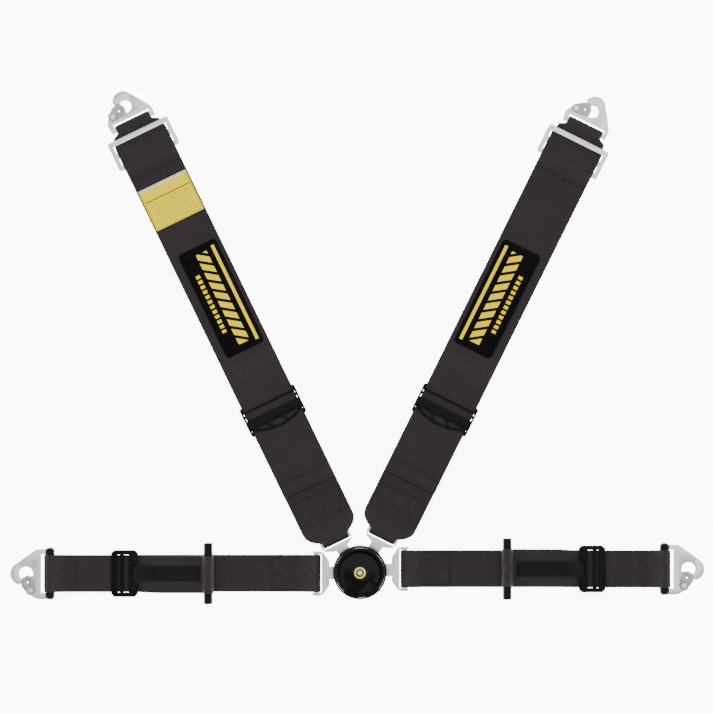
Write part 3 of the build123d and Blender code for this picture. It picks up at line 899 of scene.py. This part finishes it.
class HARNESS_OT_prints(bpy.types.Operator):
    """Finish the rubber patches and the sewn label"""

    bl_idname = "harness.prints"
    bl_label = "Patches and label"

    def execute(self, context):
        cloth = context.scene.harness_cloth
        thread = bpy.data.materials["sewing thread"]
        for name in ("shoulder_left", "shoulder_right"):
            lie, inward = LIES[name], STRAPS[name]["inward"]
            dress([f"{name}_patch"], patch_finish(lie, cloth.ink, inward), 0.25)
            near, far = lie.span(f"{name}_patch")
            self.hem(f"{name}_patch_seam", lie, near + 2, far - 2, 26.0, 3.0 * inward, 2.4, thread)
        lie = LIES["shoulder_left"]
        near, far = lie.span("shoulder_left_label")
        dress(["shoulder_left_label"], label_finish(lie, cloth.label))
        self.hem("shoulder_left_label_seam", lie, near + 1.6, far - 1.6, 33.9, 0.0, 1.95, thread)
        return {"FINISHED"}

    def hem(self, name, lie, near, far, half, offset, height, thread):
        """Thread all round a rectangle."""
        low, high = offset - half, offset + half
        rows = [((near, low), (far, low)), ((near, high), (far, high))]
        rows += [((near, low), (near, high)), ((far, low), (far, high))]
        stitches(name, lie, rows, height, thread, f"{lie.name}_upper", pitch=3.2)


class HARNESS_OT_stage(bpy.types.Operator):
    """Lay the pale floor, hang the soft lights and set the camera straight above"""

    bl_idname = "harness.stage"
    bl_label = "Floor, light and camera"

    def execute(self, context):
        stage = context.scene.harness_stage
        self.floor(stage)
        self.lamp("large soft light", (0.35, 0.75, 2.9), 3.2, stage.key)
        self.lamp("side soft light", (-2.2, -0.6, 1.5), 1.6, stage.key * 0.25)
        world = context.scene.world or bpy.data.worlds.new("sky")
        context.scene.world = world
        world.use_nodes = True
        world.node_tree.nodes["Background"].inputs["Color"].default_value = (1, 1, 1, 1)
        world.node_tree.nodes["Background"].inputs["Strength"].default_value = stage.sky
        low, high = (Vector(corner) for corner in CAD_BOX)
        middle = (low + high) / 2
        lens = bpy.data.cameras.new("camera")
        lens.lens = 200.0
        camera = bpy.data.objects.new("camera", lens)
        context.scene.collection.objects.link(camera)
        aim = middle + Vector(stage.aim)
        camera.location = (aim.x, aim.y, stage.field * lens.lens / lens.sensor_width)
        context.scene.camera = camera
        return {"FINISHED"}

    def floor(self, stage):
        """A wide plain sheet just under the harness."""
        finish = Finish(
            "pale floor", Roughness=0.9, Emission_Color=(1, 1, 1, 1), Emission_Strength=stage.glow
        )
        grain = finish.noise(finish.place(), 3.0, 1.0)
        finish.feed("Base Color", finish.blend(grain, shade(stage.floor, 0.995), shade(stage.floor, 1.0)))
        mesh = bpy.data.meshes.new("floor")
        side = 8.0
        corners = [(-side, -side, 0), (side, -side, 0), (side, side, 0), (-side, side, 0)]
        mesh.from_pydata([(x, y, -0.0003) for x, y, _ in corners], [], [(0, 1, 2, 3)])
        mesh.materials.append(finish.material)
        sheet = bpy.data.objects.new("floor", mesh)
        bpy.context.scene.collection.objects.link(sheet)

    def lamp(self, name, place, size, power):
        """A square lamp that faces the middle of the harness."""
        light = bpy.data.lights.new(name, "AREA")
        light.size = size
        light.energy = power
        lamp = bpy.data.objects.new(name, light)
        lamp.location = place
        lamp.rotation_euler = (Vector((0, 0.28, 0)) - Vector(place)).to_track_quat("-Z", "Y").to_euler()
        bpy.context.scene.collection.objects.link(lamp)


class HARNESS_PT_panel(bpy.types.Panel):
    """The harness's steps, in the order that they are run"""

    bl_idname = "HARNESS_PT_panel"
    bl_label = "Racing harness"
    bl_space_type = "VIEW_3D"
    bl_region_type = "UI"
    bl_category = "Harness"

    def draw(self, context):
        for group in ("harness_cloth", "harness_metal", "harness_stage"):
            settings = getattr(context.scene, group)
            for name in settings.__annotations__:
                self.layout.prop(settings, name)
        for operator in OPERATORS:
            self.layout.operator(operator.bl_idname)


OPERATORS = (
    HARNESS_OT_webbing,
    HARNESS_OT_pull_straps,
    HARNESS_OT_hooks,
    HARNESS_OT_adjusters,
    HARNESS_OT_buckle,
    HARNESS_OT_plastic_bars,
    HARNESS_OT_prints,
    HARNESS_OT_stage,
)
GROUPS = (HarnessCloth, HarnessMetal, HarnessStage)


def register():
    for group in GROUPS + OPERATORS + (HARNESS_PT_panel,):
        bpy.utils.register_class(group)
    bpy.types.Scene.harness_cloth = PointerProperty(type=HarnessCloth)
    bpy.types.Scene.harness_metal = PointerProperty(type=HarnessMetal)
    bpy.types.Scene.harness_stage = PointerProperty(type=HarnessStage)


def unregister():
    del bpy.types.Scene.harness_stage
    del bpy.types.Scene.harness_metal
    del bpy.types.Scene.harness_cloth
    for group in reversed(GROUPS + OPERATORS + (HARNESS_PT_panel,)):
        bpy.utils.unregister_class(group)


def main():
    """Runs every step in order."""
    register()
    for operator in OPERATORS:
        family, step = operator.bl_idname.split(".")
        getattr(getattr(bpy.ops, family), step)()
    bpy.context.view_layer.update()


if __name__ == "__main__":
    main()
